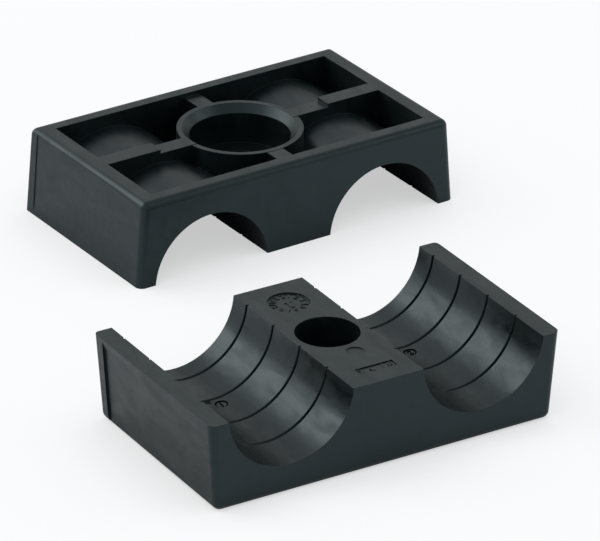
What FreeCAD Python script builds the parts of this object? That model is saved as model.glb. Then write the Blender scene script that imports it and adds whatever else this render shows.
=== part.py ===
import FreeCAD, Part
import math
import os

# Twin tube clamp: two equal moulded halves, lying open one behind the other.
# Lengths are in millimetres and angles in degrees. +Z is up.
# A half is drawn with its seats up: the back is at height 0, the parting plane on top,
# X runs from end to end and Y along the tubes.

# Tubes and bolt that the clamp is made for
tube_diameter = 18.0
tube_clearance = 0.15        # between the seat wall and the tube, on the radius
clamping_gap = 1.6           # left between the halves when they grip the tubes
bolt_diameter = 8.0
bolt_clearance = 0.3         # on the radius
bolt_head_diameter = 13.0
bolt_head_clearance = 0.62   # on the radius

# Walls of one half
half_width = 30.0            # along the tubes, at the parting plane
bore_web = 0.9               # between the bolt bore and a seat, at the parting plane
end_wall = 2.65              # outside each seat, at the parting plane
seat_wall = 2.2              # between a seat and the pocket behind it
arch_drop = 1.95             # from the rim of the back in to the crest of the arched pocket floor
head_floor = 6.2             # under the bolt head
end_draft = 4.3
side_draft = 0.9
outer_edge_radius = 1.05     # near upright corners and the outer edge round the back
far_corner_radius = 0.7      # upright corners beside the strips

# Notched grooves round each seat
groove_count = 4
groove_pitch = 6.65
groove_inset = 3.35          # from the far face to the first groove
groove_width = 0.5
groove_depth = 0.34

# Small recess for a ring mark in the bottom of each seat, on the near side of one groove
ring_mark_groove = 2         # counted from the far face
ring_mark_length = 2.7       # along the tube
ring_mark_width = 2.9        # round the seat
ring_mark_depth = 0.35

# Rim, pockets, ribs and boss of the back
end_rim = 2.65
side_rim = 2.4
pocket_roof = 2.4            # between the land and the pockets beside the cross rib
pocket_draft = 1.0
rib_draft = 0.5
long_rib_width = 2.6
long_rib_drop = 0.55         # the rib's inner part lies this far below the rim
long_rib_step_inset = 0.4    # from the seat axis to the step, towards the bolt
cross_rib_width = 2.5
cross_rib_drop = 0.65
boss_ring = 0.75             # flat ring round the recess for the bolt head
boss_drop = 0.6
boss_draft = 1.0
mouth_bevel = 1.0            # bevel at the mouth of that recess, on the radius
mouth_bevel_depth = 1.15

# Panel of each end face, deepest beside the strip at the far corner and level with the
# face at its near side
left_panel_depth = 0.3
right_panel_depth = 0.11
panel_strip = 1.9            # left standing beside the far corner
panel_near_margin = 2.5      # from the near face to where the panel is level
panel_lip = 0.4              # left standing under the parting plane
panel_slope_height = 1.2     # slope from the lip in to the panel's full depth

# Marks sunk in the land between the seats
dial_radius = 2.85
dial_depth = 0.22
dial_place = 9.7             # from the bolt axis towards the far face
plate_length = 5.6
plate_width = 1.5
plate_depth = 0.2
plate_place = 11.4           # from the bolt axis towards the near face
ejector_radius = 1.25
ejector_depth = 0.12
ejector_place = 6.4          # from the bolt axis towards the near face
near_marks_shift = 0.3       # plate and ejector mark lie off the middle

# Where the upper half lies, seen from the middle of the lower one
upper_shift_x = 22.28
upper_shift_y = 60.02
upper_turn = 2.7

overcut = 1.0                # how far a cutting solid runs past the face it opens

# Sizes that follow from the ones above
seat_radius = tube_diameter / 2 + tube_clearance
seat_lift = clamping_gap / 2
seat_half_chord = math.sqrt(seat_radius ** 2 - seat_lift ** 2)
bore_radius = bolt_diameter / 2 + bolt_clearance
head_radius = bolt_head_diameter / 2 + bolt_head_clearance
mouth_radius = head_radius + mouth_bevel
boss_radius = mouth_radius + boss_ring
seat_offset = bore_radius + bore_web + seat_half_chord
half_length = 2 * (seat_offset + seat_half_chord + end_wall)
half_height = seat_radius - seat_lift + seat_wall + arch_drop
seat_axis_height = half_height + seat_lift
arch_radius = seat_radius + seat_wall
pocket_top = half_height - pocket_roof
end_slope = math.tan(math.radians(end_draft))
side_slope = math.tan(math.radians(side_draft))
pocket_slope = math.tan(math.radians(pocket_draft))
rib_slope = math.tan(math.radians(rib_draft))
boss_slope = math.tan(math.radians(boss_draft))
back_length = half_length - 2 * half_height * end_slope
back_width = half_width - 2 * half_height * side_slope

origin = FreeCAD.Vector(0, 0, 0)
upright = FreeCAD.Vector(0, 0, 1)
along_tube = FreeCAD.Vector(0, 1, 0)
full_turn = 360
half_turn = 180
same_height = 0.001          # two heights closer than this are one plane


def flat_face(points):
    return Part.Face(Part.makePolygon(points + points[:1]))


# A solid with flat sides between two outlines that run the same way round
def solid_between(first, second):
    faces = [flat_face(first[::-1]), flat_face(second)]
    for number in range(len(first)):
        before = number - 1
        faces.append(flat_face([first[before], first[number], second[number], second[before]]))
    shell = Part.makeShell(faces)
    shell.sewShape()
    return Part.makeSolid(shell)


# A block with flat sides, centred on the half. Length and width hold at height 0, and
# each side leans outwards by its slope as it rises.
def tapered_block(length, width, bottom, top, end_lean, side_lean):
    outlines = []
    for height in (bottom, top):
        x = length / 2 + height * end_lean
        y = width / 2 + height * side_lean
        outlines.append([
            FreeCAD.Vector(-x, -y, height),
            FreeCAD.Vector(x, -y, height),
            FreeCAD.Vector(x, y, height),
            FreeCAD.Vector(-x, y, height),
        ])
    return solid_between(outlines[0], outlines[1])


# Outer form of a half: drafted, with rounded uprights and a rounded edge round the back
def outer_block():
    block = tapered_block(back_length, back_width, 0, half_height, end_slope, side_slope)
    uprights = [edge for edge in block.Edges if edge.BoundBox.ZLength > same_height]
    far_uprights = [edge for edge in uprights if edge.CenterOfMass.y > 0]
    block = block.makeFillet(far_corner_radius, far_uprights)
    rounded = [edge for edge in block.Edges
               if edge.BoundBox.ZMax < same_height
               or (edge.BoundBox.ZLength > same_height and edge.CenterOfMass.y < 0)]
    return block.makeFillet(outer_edge_radius, rounded)


# What is taken off an end face to leave its panel: all that lies outside the panel's
# plane and under the slope from the lip
def end_panel_cut(side, depth):
    lip_height = half_height - panel_lip
    face_at_lip = back_length / 2 + lip_height * end_slope
    slope_rise = panel_slope_height / (depth + panel_slope_height * end_slope)
    level_y = -half_width / 2 + panel_near_margin
    strip_y = back_width / 2 - panel_strip
    outlines = []
    for y in (-half_width / 2 - overcut, strip_y):
        depth_here = depth * (y - level_y) / (strip_y - level_y)
        slope_foot = lip_height - panel_slope_height * depth_here / depth
        outline = [
            (back_length / 2 - overcut * end_slope - depth_here, -overcut),
            (face_at_lip + overcut, -overcut),
            (face_at_lip + overcut, lip_height + overcut * slope_rise),
            (back_length / 2 + slope_foot * end_slope - depth_here, slope_foot),
        ]
        outlines.append([FreeCAD.Vector(side * x, y, z) for x, z in outline])
    if side > 0:
        outlines.reverse()
    return solid_between(outlines[0], outlines[1])


# Where a groove lies along the tubes, counted from the far face
def groove_place(number):
    return half_width / 2 - groove_inset - (number - 1) * groove_pitch


# The round space of one tube seat, with its ring grooves, turned about the tube axis
def seat_space(side):
    middle = side * seat_offset
    near = -half_width / 2 - overcut
    far = half_width / 2 + overcut
    wall = [(0, far), (seat_radius, far)]
    for number in range(1, groove_count + 1):
        place = groove_place(number)
        wall.append((seat_radius, place + groove_width / 2))
        wall.append((seat_radius + groove_depth, place))
        wall.append((seat_radius, place - groove_width / 2))
    wall.append((seat_radius, near))
    wall.append((0, near))
    face = flat_face([FreeCAD.Vector(middle + radius, y, seat_axis_height) for radius, y in wall])
    return face.revolve(FreeCAD.Vector(middle, 0, seat_axis_height), along_tube, full_turn)


# The recess for the ring mark of one seat, turned about the tube axis as well
def ring_mark_space(side):
    far = groove_place(ring_mark_groove)
    near = far - ring_mark_length
    inner = seat_radius - overcut
    outer = seat_radius + ring_mark_depth
    axis_point = FreeCAD.Vector(side * seat_offset, 0, seat_axis_height)
    outline = [(inner, near), (outer, near), (outer, far), (inner, far)]
    face = flat_face([axis_point + FreeCAD.Vector(0, y, -radius) for radius, y in outline])
    turn = math.degrees(ring_mark_width / seat_radius)
    face.rotate(axis_point, along_tube, -turn / 2)
    return face.revolve(axis_point, along_tube, turn)


# The outside of a seat's wall, which arches the pocket floors
def seat_arch(side):
    start = FreeCAD.Vector(side * seat_offset, -half_width / 2, seat_axis_height)
    return Part.makeCylinder(arch_radius, half_width, start, along_tube)


# Lengthwise rib: low beside the boss, flush with the rim outside the step
def long_rib():
    low_part = tapered_block(half_length, long_rib_width, long_rib_drop, half_height,
                             0, rib_slope)
    full_part = tapered_block(half_length, long_rib_width, -overcut, half_height, 0, rib_slope)
    step_place = seat_offset - long_rib_step_inset
    between_steps = Part.makeBox(2 * step_place, half_width, half_height + overcut,
                                 FreeCAD.Vector(-step_place, -half_width / 2, -overcut))
    return low_part.fuse(full_part.cut(between_steps))


def cross_rib():
    return tapered_block(cross_rib_width, half_width, cross_rib_drop, half_height, rib_slope, 0)


def boss():
    height = half_height - boss_drop
    foot_radius = boss_radius + height * boss_slope
    return Part.makeCone(boss_radius, foot_radius, height, origin + upright * boss_drop, upright)


# The four pockets of the back: the space inside the rim, less arches, ribs and boss
def pockets():
    space = tapered_block(back_length - 2 * end_rim, back_width - 2 * side_rim,
                          -overcut, pocket_top, -pocket_slope, -pocket_slope)
    return space.cut([seat_arch(-1), seat_arch(1), long_rib(), cross_rib(), boss()])


# Bolt bore with the bevelled recess for the head, turned about the bolt axis
def bolt_space():
    floor_height = half_height - head_floor
    outline = [
        (0, -overcut),
        (mouth_radius, -overcut),
        (mouth_radius, boss_drop),
        (head_radius, boss_drop + mouth_bevel_depth),
        (head_radius, floor_height),
        (bore_radius, floor_height),
        (bore_radius, half_height + overcut),
        (0, half_height + overcut),
    ]
    face = flat_face([FreeCAD.Vector(radius, 0, z) for radius, z in outline])
    return face.revolve(origin, upright, full_turn)


# Shallow recesses in the land: round dial, small plate and the mark of an ejector pin
def land_marks():
    dial_foot = FreeCAD.Vector(0, dial_place, half_height - dial_depth)
    dial = Part.makeCylinder(dial_radius, dial_depth + overcut, dial_foot, upright)
    plate_corner = FreeCAD.Vector(near_marks_shift - plate_length / 2,
                                  -plate_place - plate_width / 2,
                                  half_height - plate_depth)
    plate = Part.makeBox(plate_length, plate_width, plate_depth + overcut, plate_corner)
    ejector_foot = FreeCAD.Vector(near_marks_shift, -ejector_place, half_height - ejector_depth)
    ejector = Part.makeCylinder(ejector_radius, ejector_depth + overcut, ejector_foot, upright)
    return [dial, plate, ejector]


def clamp_half():
    half = outer_block()
    half = half.cut([end_panel_cut(-1, left_panel_depth), end_panel_cut(1, right_panel_depth)])
    half = half.cut(pockets())
    half = half.cut([bolt_space(), seat_space(-1), seat_space(1)])
    half = half.cut([ring_mark_space(-1), ring_mark_space(1)] + land_marks())
    return half.Solids[0]


# The upper half is the same moulding turned over end for end, its parting plane down
def turned_over(half):
    turned = half.copy()
    turned.rotate(FreeCAD.Vector(0, 0, half_height / 2), along_tube, half_turn)
    turned.rotate(origin, upright, upper_turn)
    turned.translate(FreeCAD.Vector(upper_shift_x, upper_shift_y, 0))
    return turned


# Both halves stand on the floor, and the middle of their common outline is the origin
def centred(pieces):
    outline = Part.makeCompound(pieces).optimalBoundingBox(False, False)
    to_middle = FreeCAD.Vector(-outline.Center.x, -outline.Center.y, 0)
    for piece in pieces:
        piece.translate(to_middle)
    return pieces


half = clamp_half()
lower_half, upper_half = centred([half, turned_over(half)])

os.makedirs("parts", exist_ok=True)
lower_half.exportStep("parts/lower_half.step")
upper_half.exportStep("parts/upper_half.step")
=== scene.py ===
import math

import bmesh
import bpy
import numpy as np
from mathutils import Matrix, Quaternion, Vector


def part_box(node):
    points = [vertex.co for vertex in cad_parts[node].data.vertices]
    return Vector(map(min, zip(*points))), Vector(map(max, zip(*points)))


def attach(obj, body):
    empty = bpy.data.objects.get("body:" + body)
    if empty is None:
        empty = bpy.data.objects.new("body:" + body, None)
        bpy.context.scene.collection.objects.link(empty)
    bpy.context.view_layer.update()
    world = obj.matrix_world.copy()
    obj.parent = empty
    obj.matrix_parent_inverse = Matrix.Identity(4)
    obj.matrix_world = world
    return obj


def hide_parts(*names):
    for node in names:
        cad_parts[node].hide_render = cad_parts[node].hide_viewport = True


# Twin tube clamp: two black moulded halves, open on a white table. All sizes are in metres.

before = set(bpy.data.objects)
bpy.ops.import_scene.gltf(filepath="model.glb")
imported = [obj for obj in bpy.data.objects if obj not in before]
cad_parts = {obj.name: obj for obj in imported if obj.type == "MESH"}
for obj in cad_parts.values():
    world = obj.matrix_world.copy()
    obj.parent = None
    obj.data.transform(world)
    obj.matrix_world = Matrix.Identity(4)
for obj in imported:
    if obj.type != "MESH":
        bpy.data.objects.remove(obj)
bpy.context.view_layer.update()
print("frame loaded:", ", ".join(sorted(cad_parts)))

mm = 0.001

# black plastic, a little cool in its gloss, with the cloudy skin that melt leaves on steel;
# each noise says how many blotches it has in a metre, and its detail
mouldedPlastic = {
    "darkTint": (0.0018, 0.0036, 0.0042, 1.0),
    "paleTint": (0.0032, 0.0058, 0.0066, 1.0),
    "clouds": (160.0, 3.0),       # soft blotches in the colour
    "flow": (520.0, 4.0),         # blotches of duller and smoother skin
    "flowDistortion": 0.6,
    "flowStretch": 0.30,          # below 1 draws them out along the tubes
    "noiseRange": (0.35, 0.65),   # where a noise passes from its first value to its second
    "smoothestSkin": 0.22,
    "dullestSkin": 0.43,
    "index": 1.49,
    "glossTint": (0.68, 0.93, 1.0, 1.0),
    "waves": (300.0, 2.0),        # slow sink marks that break up the highlights
    "waveHeight": 0.062 * mm,
    "grain": (5200.0, 2.0),
    "grainHeight": 0.006 * mm,
    "edgeRound": 0.08 * mm,       # the small round that every moulded edge has
    "edgeSamples": 6,
}


def noiseNode(nodes, links, vector, perMetre, detail):
    noise = nodes.new("ShaderNodeTexNoise")
    noise.inputs["Scale"].default_value = perMetre
    noise.inputs["Detail"].default_value = detail
    links.new(vector, noise.inputs["Vector"])
    return noise


def bumpNode(nodes, links, noise, height, normal):
    # the noise as hills of the given height, on top of the normal that comes in
    bump = nodes.new("ShaderNodeBump")
    bump.inputs["Distance"].default_value = height
    links.new(noise.outputs["Fac"], bump.inputs["Height"])
    links.new(normal, bump.inputs["Normal"])
    return bump


def plasticMaterial(name, settings):
    # two tints by soft noise, roughness by stretched noise, slow waves and fine grain as bump
    material = bpy.data.materials.new(name)
    material.use_nodes = True
    nodes = material.node_tree.nodes
    links = material.node_tree.links
    shader = nodes["Principled BSDF"]
    shader.inputs["IOR"].default_value = settings["index"]
    shader.inputs["Specular Tint"].default_value = settings["glossTint"]
    place = nodes.new("ShaderNodeTexCoord")
    low, high = settings["noiseRange"]

    clouds = noiseNode(nodes, links, place.outputs["Object"], *settings["clouds"])
    tint = nodes.new("ShaderNodeValToRGB")
    first, second = tint.color_ramp.elements
    first.position, first.color = low, settings["darkTint"]
    second.position, second.color = high, settings["paleTint"]
    links.new(clouds.outputs["Fac"], tint.inputs["Fac"])
    links.new(tint.outputs["Color"], shader.inputs["Base Color"])

    stretch = nodes.new("ShaderNodeMapping")
    stretch.inputs["Scale"].default_value = (1.0, settings["flowStretch"], 1.0)
    links.new(place.outputs["Object"], stretch.inputs["Vector"])
    flow = noiseNode(nodes, links, stretch.outputs["Vector"], *settings["flow"])
    flow.inputs["Distortion"].default_value = settings["flowDistortion"]
    skin = nodes.new("ShaderNodeMapRange")
    skin.inputs["From Min"].default_value = low
    skin.inputs["From Max"].default_value = high
    skin.inputs["To Min"].default_value = settings["smoothestSkin"]
    skin.inputs["To Max"].default_value = settings["dullestSkin"]
    links.new(flow.outputs["Fac"], skin.inputs["Value"])
    links.new(skin.outputs["Result"], shader.inputs["Roughness"])

    edges = nodes.new("ShaderNodeBevel")
    edges.samples = settings["edgeSamples"]
    edges.inputs["Radius"].default_value = settings["edgeRound"]
    waves = noiseNode(nodes, links, place.outputs["Object"], *settings["waves"])
    wavy = bumpNode(nodes, links, waves, settings["waveHeight"], edges.outputs["Normal"])
    grain = noiseNode(nodes, links, place.outputs["Object"], *settings["grain"])
    grainy = bumpNode(nodes, links, grain, settings["grainHeight"], wavy.outputs["Normal"])
    links.new(grainy.outputs["Normal"], shader.inputs["Normal"])
    return material


# the outside of the mould is duller and more even than the part that makes the seats
outsideSkin = {
    "smoothestSkin": 0.32,
    "dullestSkin": 0.44,
    "index": 1.53,
    "waves": (450.0, 2.0),
    "waveHeight": 0.040 * mm,
}

# the rings and numbers in the seats were engraved with a rough cutter, so they hardly shine
cutSkin = {
    "smoothestSkin": 0.75,
    "dullestSkin": 0.90,
    "index": 1.20,
}

seatBlack = plasticMaterial("seatBlack", mouldedPlastic)
outsideBlack = plasticMaterial("outsideBlack", {**mouldedPlastic, **outsideSkin})
cutBlack = plasticMaterial("cutBlack", {**mouldedPlastic, **cutSkin})
print("plastic mixed")


# a half is measured from its middle, seats up, as it was drawn; both lie on the table
clampForm = {
    "halfHeight": 12.5 * mm,
    "seatOffset": 14.315 * mm,          # from the bolt's axis out to a tube's axis
    "seatAxisHeight": 13.3 * mm,
    "upperShift": (22.28 * mm, 60.02 * mm),
    "upperTurn": math.radians(2.7),
}


def halfPlaces(settings):
    # for each half a turn and a shift from its own measures to its place on the table;
    # the upper half is turned over end for end, swung round a little, and set down behind
    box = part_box("lower_half")
    middle = 0.5 * (np.array(box[0]) + np.array(box[1]))
    middle[2] = 0.0
    c, s = math.cos(settings["upperTurn"]), math.sin(settings["upperTurn"])
    swing = np.array([[c, s, 0.0], [-s, c, 0.0], [0.0, 0.0, 1.0]])
    over = np.diag([-1.0, 1.0, -1.0])
    shift = np.array([*settings["upperShift"], settings["halfHeight"]])
    return {"lower_half": (np.eye(3), middle), "upper_half": (over @ swing, middle + shift)}


places = halfPlaces(clampForm)


def intoPlace(points, nodeName):
    # each point times the half's turn, plus its shift
    turn, shift = places[nodeName]
    return points @ turn + shift


def outOfPlace(points, nodeName):
    # the same way back: less the shift, times the turn laid on its side
    turn, shift = places[nodeName]
    return (points - shift) @ turn.T


def fromTubeAxis(own):
    # how far each point is across from the nearer tube's axis, and how far below it
    side = np.where(own[:, 0] < 0.0, -1.0, 1.0)
    across = own[:, 0] - side * clampForm["seatOffset"]
    return across, clampForm["seatAxisHeight"] - own[:, 2]


# the two halves, as smooth skins over the solids
halfSkin = {
    "weldDistance": 0.0002 * mm,
    "sharpFrom": math.radians(32.0),   # edges that turn more than this stay crisp
    "grooves": (11.65 * mm, 5.00 * mm, -1.65 * mm, -8.30 * mm),   # along the tube
    "grooveFoot": 9.49 * mm,           # their bottom lines, from the tube's axis
    "footReach": 0.03 * mm,
    "steeper": (0.0, 0.11 * mm),       # how far a bottom line slides towards one wall
    "steeperAt": (math.radians(-5.0), math.radians(38.0)),   # at these angles round the seat
    "seatReach": 9.60 * mm,            # faces nearer than this to a tube's axis are seat,
    "seatEnd": 14.0 * mm,              # if they are as near as this to the middle of its length
    "rimDepth": 0.02 * mm,             # and this far below the rim
}


def steepenGrooves(mesh, nodeName, settings):
    # the bottom line of each groove slides along the tube, so that one wall gets steeper;
    # the slide grows from nothing on one side of the seat to its full size on the other
    corners = np.zeros(len(mesh.vertices) * 3)
    mesh.vertices.foreach_get("co", corners)
    corners = corners.reshape(-1, 3)
    own = outOfPlace(corners, nodeName)
    across, below = fromTubeAxis(own)
    atFoot = np.abs(np.hypot(across, below) - settings["grooveFoot"]) < settings["footReach"]
    slide = np.interp(np.arctan2(across, below), settings["steeperAt"], settings["steeper"])
    for groove in settings["grooves"]:
        line = atFoot & (np.abs(own[:, 1] - groove) < settings["footReach"])
        own[line, 1] += slide[line]
        corners[line] = intoPlace(own[line], nodeName)
        print("groove at", round(groove / mm, 2), "mm:", int(line.sum()), "corners")
    mesh.vertices.foreach_set("co", corners.ravel())
    mesh.update()


def paintSeats(mesh, nodeName, settings):
    # the seats get the first material and all the rest the second
    middles = np.zeros(len(mesh.polygons) * 3)
    mesh.polygons.foreach_get("center", middles)
    own = outOfPlace(middles.reshape(-1, 3), nodeName)
    nearAxis = np.hypot(*fromTubeAxis(own)) < settings["seatReach"]
    belowRim = own[:, 2] < clampForm["halfHeight"] - settings["rimDepth"]
    offEnds = np.abs(own[:, 1]) < settings["seatEnd"]
    outside = ~(nearAxis & belowRim & offEnds)
    mesh.polygons.foreach_set("material_index", outside.astype(np.int32))


def skinOver(nodeName, settings):
    # the solid's own triangles, welded, smooth where it is round and crisp at its edges
    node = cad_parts[nodeName]
    skin = node.copy()
    skin.data = node.data.copy()
    skin.name = nodeName + "_skin"
    skin.data.name = skin.name
    bpy.context.scene.collection.objects.link(skin)
    bpy.ops.object.select_all(action="DESELECT")
    skin.select_set(True)
    bpy.context.view_layer.objects.active = skin
    weld = skin.modifiers.new("weld", "WELD")
    weld.merge_threshold = settings["weldDistance"]
    bpy.ops.object.modifier_apply(modifier=weld.name)
    mesh = skin.data
    if "custom_normal" in mesh.attributes:
        mesh.attributes.remove(mesh.attributes["custom_normal"])
    steepenGrooves(mesh, nodeName, settings)
    mesh.polygons.foreach_set("use_smooth", np.ones(len(mesh.polygons), dtype=bool))
    mesh.set_sharp_from_angle(angle=settings["sharpFrom"])
    flat = skin.modifiers.new("flat faces stay flat", "WEIGHTED_NORMAL")
    flat.keep_sharp = True
    mesh.materials.clear()
    mesh.materials.append(seatBlack)
    mesh.materials.append(outsideBlack)
    paintSeats(mesh, nodeName, settings)
    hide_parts(nodeName)
    print("skin:", skin.name, len(mesh.polygons), "faces")


for nodeName in ("lower_half", "upper_half"):
    skinOver(nodeName, halfSkin)

digitCurve = {
    "halfThickness": 0.5,
    "stepsPerBend": 3,
}
sameCorner = 0.001 * mm       # corners of a mark nearer than this are one
almostNothing = 1e-9          # keeps a line that runs along an edge from dividing by zero


def letteringForm(text, height, spread=1.0):
    # digits as a closed slab one unit thick that stands on zero, centred, as tall as told
    curve = bpy.data.curves.new("digits", "FONT")
    curve.body = text
    curve.space_character = spread
    curve.extrude = digitCurve["halfThickness"]
    curve.resolution_u = digitCurve["stepsPerBend"]
    holder = bpy.data.objects.new("digits", curve)
    bpy.context.scene.collection.objects.link(holder)
    bpy.context.view_layer.update()
    shaped = holder.evaluated_get(bpy.context.evaluated_depsgraph_get())
    mesh = bpy.data.meshes.new_from_object(shaped)
    bpy.data.objects.remove(holder)
    bpy.data.curves.remove(curve)
    points = np.zeros(len(mesh.vertices) * 3)
    mesh.vertices.foreach_get("co", points)
    points = points.reshape(-1, 3)
    faces = [tuple(polygon.vertices) for polygon in mesh.polygons]
    bpy.data.meshes.remove(mesh)
    low, high = points.min(0), points.max(0)
    flat = (points[:, :2] - 0.5 * (low + high)[:2]) * height / (high[1] - low[1])
    return np.column_stack([flat, points[:, 2] > 0.0]), faces


def bandForm(outer, inner):
    # a flat band one unit thick between two outlines of as many corners: the four corners of
    # its section, low and high outside, high and low inside, are carried round from one
    # corner of the outlines to the next
    count = len(outer)
    low, high = np.zeros(count), np.ones(count)
    section = [np.column_stack(pair) for pair in
               ((outer, low), (outer, high), (inner, high), (inner, low))]
    step, corner = np.divmod(np.arange(4 * count), 4)
    nextStep, nextCorner = (step + 1) % count, (corner + 1) % 4
    faces = np.column_stack([4 * step + corner, 4 * nextStep + corner,
                             4 * nextStep + nextCorner, 4 * step + nextCorner])
    return np.stack(section, axis=1).reshape(-1, 3), faces.tolist()


def slabForm(outline):
    # a slab one unit thick: the outline at zero as its foot, at one as its top, walls between
    count = len(outline)
    foot = np.column_stack([outline, np.zeros(count)])
    top = np.column_stack([outline, np.ones(count)])
    here = np.arange(count)
    following = (here + 1) % count
    walls = np.column_stack([here, following, count + following, count + here])
    faces = [here[::-1].tolist(), (count + here).tolist(), *walls.tolist()]
    return np.vstack([foot, top]), faces


def circle(radius, steps):
    # corners at equal angles, radius times the angle's cosine and sine
    angles = np.linspace(0.0, math.tau, steps, endpoint=False)
    return radius * np.column_stack([np.cos(angles), np.sin(angles)])


def rectangle(left, right, near, far):
    return np.array([(left, near), (right, near), (right, far), (left, far)])


def rectangleRound(left, right, near, far, steps):
    # the edge of a rectangle, met by lines that leave zero at equal angles: each goes as far
    # as the nearer of the two edges that it runs towards
    ways = circle(1.0, steps)
    edges = np.abs(np.where(ways > 0.0, (right, far), (left, near)))
    reach = (edges / np.maximum(np.abs(ways), almostNothing)).min(axis=1)
    return ways * reach[:, None]


def arrowForm(length, shaftWidth, headWidth, headLength):
    # an arrow that points along +Y, its middle at zero
    tip, tail, neck = length / 2, -length / 2, length / 2 - headLength
    return slabForm([(-shaftWidth / 2, tail), (shaftWidth / 2, tail), (shaftWidth / 2, neck),
                     (headWidth / 2, neck), (0.0, tip), (-headWidth / 2, neck),
                     (-shaftWidth / 2, neck)])


def laidFlat(form, middle, floor, relief, turn=0.0):
    # turned about its own middle, then stood on the floor of a recess in the land
    points, faces = form
    c, s = math.cos(turn), math.sin(turn)
    swing = np.array([[c, s], [-s, c]])
    place = points[:, :2] @ swing + np.array(middle)
    return np.column_stack([place, floor + points[:, 2] * relief]), faces


def laidInSeat(form, side, relief, settings):
    # bent round the tube's axis: across becomes angle, height goes in towards the axis
    points, faces = form
    bend = settings["angle"] + points[:, 0] / settings["floorRadius"]
    radius = settings["floorRadius"] - points[:, 2] * relief
    x = side * clampForm["seatOffset"] + radius * np.sin(bend)
    z = clampForm["seatAxisHeight"] - radius * np.cos(bend)
    return np.column_stack([x, settings["alongTube"] + points[:, 1], z]), faces


def markPiece(name, forms, nodeName, material):
    # all the forms, each a closed body, as one mesh in its place on a half
    corners = np.vstack([points for points, faces in forms])
    polygons, used = [], 0
    for points, faces in forms:
        polygons += [[used + number for number in face] for face in faces]
        used += len(points)
    mesh = bpy.data.meshes.new(name)
    mesh.from_pydata(intoPlace(corners, nodeName).tolist(), [], polygons)
    tidy = bmesh.new()
    tidy.from_mesh(mesh)
    bmesh.ops.remove_doubles(tidy, verts=tidy.verts, dist=sameCorner)
    bmesh.ops.recalc_face_normals(tidy, faces=tidy.faces)
    tidy.to_mesh(mesh)
    tidy.free()
    mesh.materials.append(material)
    piece = bpy.data.objects.new(name, mesh)
    bpy.context.scene.collection.objects.link(piece)
    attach(piece, "root")
    print("mark:", name, len(mesh.polygons), "faces")


# clock dial: a hand, the hours round it
clockDial = {
    "middle": (0.0, 9.7 * mm),
    "floor": 12.26 * mm,      # a little under the recess's own floor, as in the size mark
    "relief": 0.12 * mm,
    "hours": 12,
    "hourHeight": 0.92 * mm,
    "hourRadius": 2.12 * mm,
    "hand": (2.3 * mm, 0.42 * mm, 1.15 * mm, 0.95 * mm),   # length, two widths, head's length
}


def dialForms(settings):
    where = [settings["floor"], settings["relief"]]
    forms = [laidFlat(arrowForm(*settings["hand"]), settings["middle"], *where)]
    for hour in range(1, settings["hours"] + 1):
        turn = -math.tau * hour / settings["hours"]
        middle = (settings["middle"][0] - settings["hourRadius"] * math.sin(turn),
                  settings["middle"][1] + settings["hourRadius"] * math.cos(turn))
        digits = letteringForm(str(hour), settings["hourHeight"])
        forms.append(laidFlat(digits, middle, *where, turn))
    return forms


# size mark: two tubes of eighteen, on a plate that lies in the recess
sizeMark = {
    "plate": (-2.80 * mm, 2.80 * mm, -0.75 * mm, 0.75 * mm),   # left, right, near, far
    "plateMiddle": (0.3 * mm, -11.4 * mm),
    "plateRelief": 0.08 * mm,
    "floor": 12.28 * mm,
    "text": "2 x 18",
    "textMiddle": (0.2 * mm, -11.52 * mm),
    "textRelief": 0.21 * mm,
    "digitHeight": 1.12 * mm,
    "spread": 1.28,           # room from digit to digit, 1 is the font's own
}


def sizeForms(settings):
    plate = slabForm(rectangle(*settings["plate"]))
    digits = letteringForm(settings["text"], settings["digitHeight"], settings["spread"])
    return [laidFlat(plate, settings["plateMiddle"], settings["floor"], settings["plateRelief"]),
            laidFlat(digits, settings["textMiddle"], settings["floor"], settings["textRelief"])]


# ring mark: the number of the seat inside a round groove, low in each seat; two plates round
# it fill the recess up to the seat, all but a slot at the far corner
ringMark = {
    "alongTube": 3.32 * mm,
    "angle": math.radians(3.1),
    "plate": (-1.05 * mm, 0.98 * mm, -1.06 * mm, 1.42 * mm),   # left, right, near, far
    "sidePlate": (-2.00 * mm, -1.05 * mm, -1.06 * mm, 0.72 * mm),
    "plateRelief": 0.37 * mm,
    "grooveRadius": 0.92 * mm,
    "discRadius": 0.69 * mm,
    "discRelief": 0.26 * mm,
    "ringRelief": 0.20 * mm,
    "digitHeight": 0.95 * mm,
    "digitRelief": 0.38 * mm,
    "floorRadius": 9.53 * mm,          # just under the recess's floor, from the tube's axis
    "steps": 48,
}


def ringMarkForms(settings):
    # the plates round the groove and the disc inside it, in both seats
    groove = circle(settings["grooveRadius"], settings["steps"])
    plate = bandForm(rectangleRound(*settings["plate"], settings["steps"]), groove)
    sidePlate = slabForm(rectangle(*settings["sidePlate"]))
    disc = slabForm(circle(settings["discRadius"], settings["steps"]))
    return [laidInSeat(form, side, settings[relief], settings)
            for side in (-1, 1)
            for form, relief in ((plate, "plateRelief"), (sidePlate, "plateRelief"),
                                 (disc, "discRelief"))]


def ringNumberForms(settings):
    # the floor of the groove and the digit on the disc, in both seats
    ring = bandForm(circle(settings["grooveRadius"], settings["steps"]),
                    circle(settings["discRadius"], settings["steps"]))
    forms = []
    for side, number in ((-1, "1"), (1, "2")):
        digit = letteringForm(number, settings["digitHeight"])
        forms.append(laidInSeat(ring, side, settings["ringRelief"], settings))
        forms.append(laidInSeat(digit, side, settings["digitRelief"], settings))
    return forms


for halfName in ("lower", "upper"):
    nodeName = halfName + "_half"
    markPiece(halfName + "_clockDial", dialForms(clockDial), nodeName, outsideBlack)
    markPiece(halfName + "_sizeMark", sizeForms(sizeMark), nodeName, outsideBlack)
    markPiece(halfName + "_ringMarks", ringMarkForms(ringMark), nodeName, seatBlack)
    markPiece(halfName + "_ringNumbers", ringNumberForms(ringMark), nodeName, cutBlack)


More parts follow.
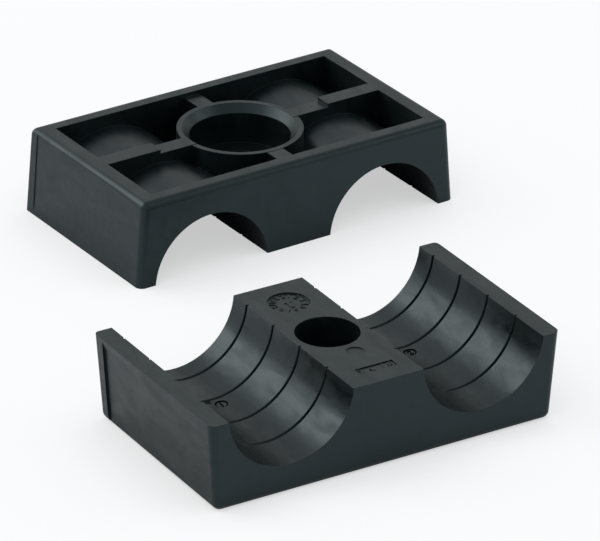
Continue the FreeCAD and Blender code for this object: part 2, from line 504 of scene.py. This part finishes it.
# a wide white table
table = {
    "height": -0.01 * mm,     # a hair under the feet, so that the two faces don't coincide
    "reach": 3.0,
    "paint": (0.86, 0.87, 0.88, 1.0),
    "shadowShare": 0.22,      # how much of the table's own shading the eye sees
    "glow": 0.83,             # what the eye meets of the table's glow
    "glowInGloss": 0.58,      # and what gloss and glass meet of it
    "nearness": 30.0 * mm,    # how far off a thing still paints shade into the table's glow under it
    "openSamples": 12,
    "openFrom": 0.10,         # share of open sky at which the glow begins
    "openFull": 0.85,         # and at which it is full
    "leastSeen": 0.55,        # glow that the eye itself still meets in the closest corner
}


def seenByEyeOrGloss(nodes, links, path):
    # one where the ray comes from the eye, from gloss or through glass
    seen = nodes.new("ShaderNodeMath")
    seen.operation = "MAXIMUM"
    links.new(path.outputs["Is Camera Ray"], seen.inputs[0])
    links.new(path.outputs["Is Glossy Ray"], seen.inputs[1])
    seenToo = nodes.new("ShaderNodeMath")
    seenToo.operation = "MAXIMUM"
    links.new(seen.outputs["Value"], seenToo.inputs[0])
    links.new(path.outputs["Is Transmission Ray"], seenToo.inputs[1])
    return seenToo.outputs["Value"]


def lessInGloss(nodes, links, path, inGloss, toEye):
    # one strength for the eye and a lower one for all other rays
    level = nodes.new("ShaderNodeMapRange")
    level.inputs["To Min"].default_value = inGloss
    level.inputs["To Max"].default_value = toEye
    links.new(path.outputs["Is Camera Ray"], level.inputs["Value"])
    return level.outputs["Result"]


def tableAndBackdrop(settings):
    # a flat sheet; the shadow on it is kept, and the rest of it shows as white; its glow is dimmed
    # by ambient occlusion near and under the halves, which is painted shade
    reach, height = settings["reach"], settings["height"]
    corners = np.array([(-reach, -reach, height), (reach, -reach, height),
                        (reach, reach, height), (-reach, reach, height)])
    mesh = bpy.data.meshes.new("table")
    mesh.from_pydata(corners.tolist(), [], [(0, 1, 2, 3)])
    sheet = bpy.data.objects.new("table", mesh)
    bpy.context.scene.collection.objects.link(sheet)
    material = bpy.data.materials.new("tableWhite")
    material.use_nodes = True
    nodes = material.node_tree.nodes
    links = material.node_tree.links
    nodes.clear()
    output = nodes.new("ShaderNodeOutputMaterial")
    path = nodes.new("ShaderNodeLightPath")

    paint = nodes.new("ShaderNodeBsdfDiffuse")
    paint.inputs["Color"].default_value = settings["paint"]
    paler = nodes.new("ShaderNodeBsdfDiffuse")
    share = settings["shadowShare"]
    paler.inputs["Color"].default_value = [*(share * np.array(settings["paint"][:3])), 1.0]

    # painted shade: ambient occlusion dims the table's glow near and under the halves, for the eye
    # and for gloss alike
    paintedShadeAO = nodes.new("ShaderNodeAmbientOcclusion")
    paintedShadeAO.samples = settings["openSamples"]
    paintedShadeAO.inputs["Distance"].default_value = settings["nearness"]
    strength = nodes.new("ShaderNodeMapRange")
    strength.inputs["From Min"].default_value = settings["openFrom"]
    strength.inputs["From Max"].default_value = settings["openFull"]
    links.new(paintedShadeAO.outputs["AO"], strength.inputs["Value"])
    links.new(lessInGloss(nodes, links, path, 0.0, settings["leastSeen"]),
              strength.inputs["To Min"])
    links.new(lessInGloss(nodes, links, path, settings["glowInGloss"], settings["glow"]),
              strength.inputs["To Max"])
    glow = nodes.new("ShaderNodeEmission")
    links.new(strength.outputs["Result"], glow.inputs["Strength"])

    both = nodes.new("ShaderNodeAddShader")
    links.new(paler.outputs["BSDF"], both.inputs[0])
    links.new(glow.outputs["Emission"], both.inputs[1])
    pick = nodes.new("ShaderNodeMixShader")
    links.new(seenByEyeOrGloss(nodes, links, path), pick.inputs["Fac"])
    links.new(paint.outputs["BSDF"], pick.inputs[1])
    links.new(both.outputs["Shader"], pick.inputs[2])
    links.new(pick.outputs["Shader"], output.inputs["Surface"])
    mesh.materials.append(material)


tableAndBackdrop(table)

room = {
    "light": (0.80, 0.92, 1.0, 1.0),
    "strength": 0.55,
    "white": (1.0, 1.0, 1.0, 1.0),
    "toEye": 1.0,             # how bright the eye meets that white
    "inGloss": 0.66,          # and how bright gloss and glass meet it
    "dimSide": (0.47, -0.44, 0.76),   # gloss meets a dimmer room on this side,
    "dimFrom": 0.55,          # from this far round towards it,
    "dimmest": 0.58,          # down to this share straight towards it
}


def roomLight(settings):
    # even light all round; rays from the eye, from gloss and through glass meet white
    world = bpy.data.worlds.new("room")
    world.use_nodes = True
    nodes = world.node_tree.nodes
    links = world.node_tree.links
    nodes.clear()
    output = nodes.new("ShaderNodeOutputWorld")
    path = nodes.new("ShaderNodeLightPath")
    even = nodes.new("ShaderNodeBackground")
    even.inputs["Color"].default_value = settings["light"]
    even.inputs["Strength"].default_value = settings["strength"]
    white = nodes.new("ShaderNodeBackground")
    white.inputs["Color"].default_value = settings["white"]
    direction = nodes.new("ShaderNodeTexCoord")
    towards = nodes.new("ShaderNodeVectorMath")
    towards.operation = "DOT_PRODUCT"
    towards.inputs[1].default_value = settings["dimSide"]
    links.new(direction.outputs["Generated"], towards.inputs[0])
    dimmer = nodes.new("ShaderNodeMapRange")
    dimmer.inputs["From Min"].default_value = settings["dimFrom"]
    dimmer.inputs["To Min"].default_value = settings["inGloss"]
    dimmer.inputs["To Max"].default_value = settings["inGloss"] * settings["dimmest"]
    links.new(towards.outputs["Value"], dimmer.inputs["Value"])
    level = nodes.new("ShaderNodeMapRange")
    links.new(dimmer.outputs["Result"], level.inputs["To Min"])
    level.inputs["To Max"].default_value = settings["toEye"]
    links.new(path.outputs["Is Camera Ray"], level.inputs["Value"])
    links.new(level.outputs["Result"], white.inputs["Strength"])
    pick = nodes.new("ShaderNodeMixShader")
    links.new(seenByEyeOrGloss(nodes, links, path), pick.inputs["Fac"])
    links.new(even.outputs["Background"], pick.inputs[1])
    links.new(white.outputs["Background"], pick.inputs[2])
    links.new(pick.outputs["Shader"], output.inputs["Surface"])
    bpy.context.scene.world = world


roomLight(room)

softboxes = {
    "key": {"from": (-0.57, 0.61, 0.60), "size": 0.85, "watts": 5.0, "colour": (1.0, 0.94, 0.91)},
    "side": {"from": (0.74, -0.37, 0.56), "size": 0.45, "watts": 0.9, "colour": (1.0, 0.98, 0.97)},
}


def softbox(name, settings):
    lamp = bpy.data.lights.new(name, "AREA")
    lamp.shape = "SQUARE"
    lamp.size = settings["size"]
    lamp.energy = settings["watts"]
    lamp.color = settings["colour"]
    holder = bpy.data.objects.new(name, lamp)
    holder.location = settings["from"]
    holder.rotation_euler = (-Vector(settings["from"])).to_track_quat("-Z", "Y").to_euler()
    bpy.context.scene.collection.objects.link(holder)


for boxName, boxSettings in softboxes.items():
    softbox(boxName, boxSettings)

photoCamera = {
    "aim": (-11.966 * mm, -24.500 * mm, 18.821 * mm),
    "azimuth": -31.297,
    "elevation": 26.749,
    "roll": 0.540,
    "distance": 696.97 * mm,
    "lens": 324.05,
    "sensor": 36.0,
    "nearest": 0.01,
    "farthest": 20.0,
}


def placeCamera(settings):
    # looks at the aim from the given compass angle and height, rolled a little about its axis
    azimuth = math.radians(settings["azimuth"])
    elevation = math.radians(settings["elevation"])
    back = Vector((math.sin(azimuth) * math.cos(elevation),
                   -math.cos(azimuth) * math.cos(elevation),
                   math.sin(elevation)))
    lens = bpy.data.cameras.new("photoCamera")
    lens.lens = settings["lens"]
    lens.sensor_width = settings["sensor"]
    lens.clip_start = settings["nearest"]
    lens.clip_end = settings["farthest"]
    camera = bpy.data.objects.new("photoCamera", lens)
    roll = Quaternion((0.0, 0.0, 1.0), math.radians(settings["roll"]))
    camera.rotation_mode = "QUATERNION"
    camera.rotation_quaternion = (-back).to_track_quat("-Z", "Y") @ roll
    camera.location = Vector(settings["aim"]) + back * settings["distance"]
    bpy.context.scene.collection.objects.link(camera)
    bpy.context.scene.camera = camera


placeCamera(photoCamera)
bpy.context.scene.view_settings.view_transform = "Standard"
print("table, light and camera set")
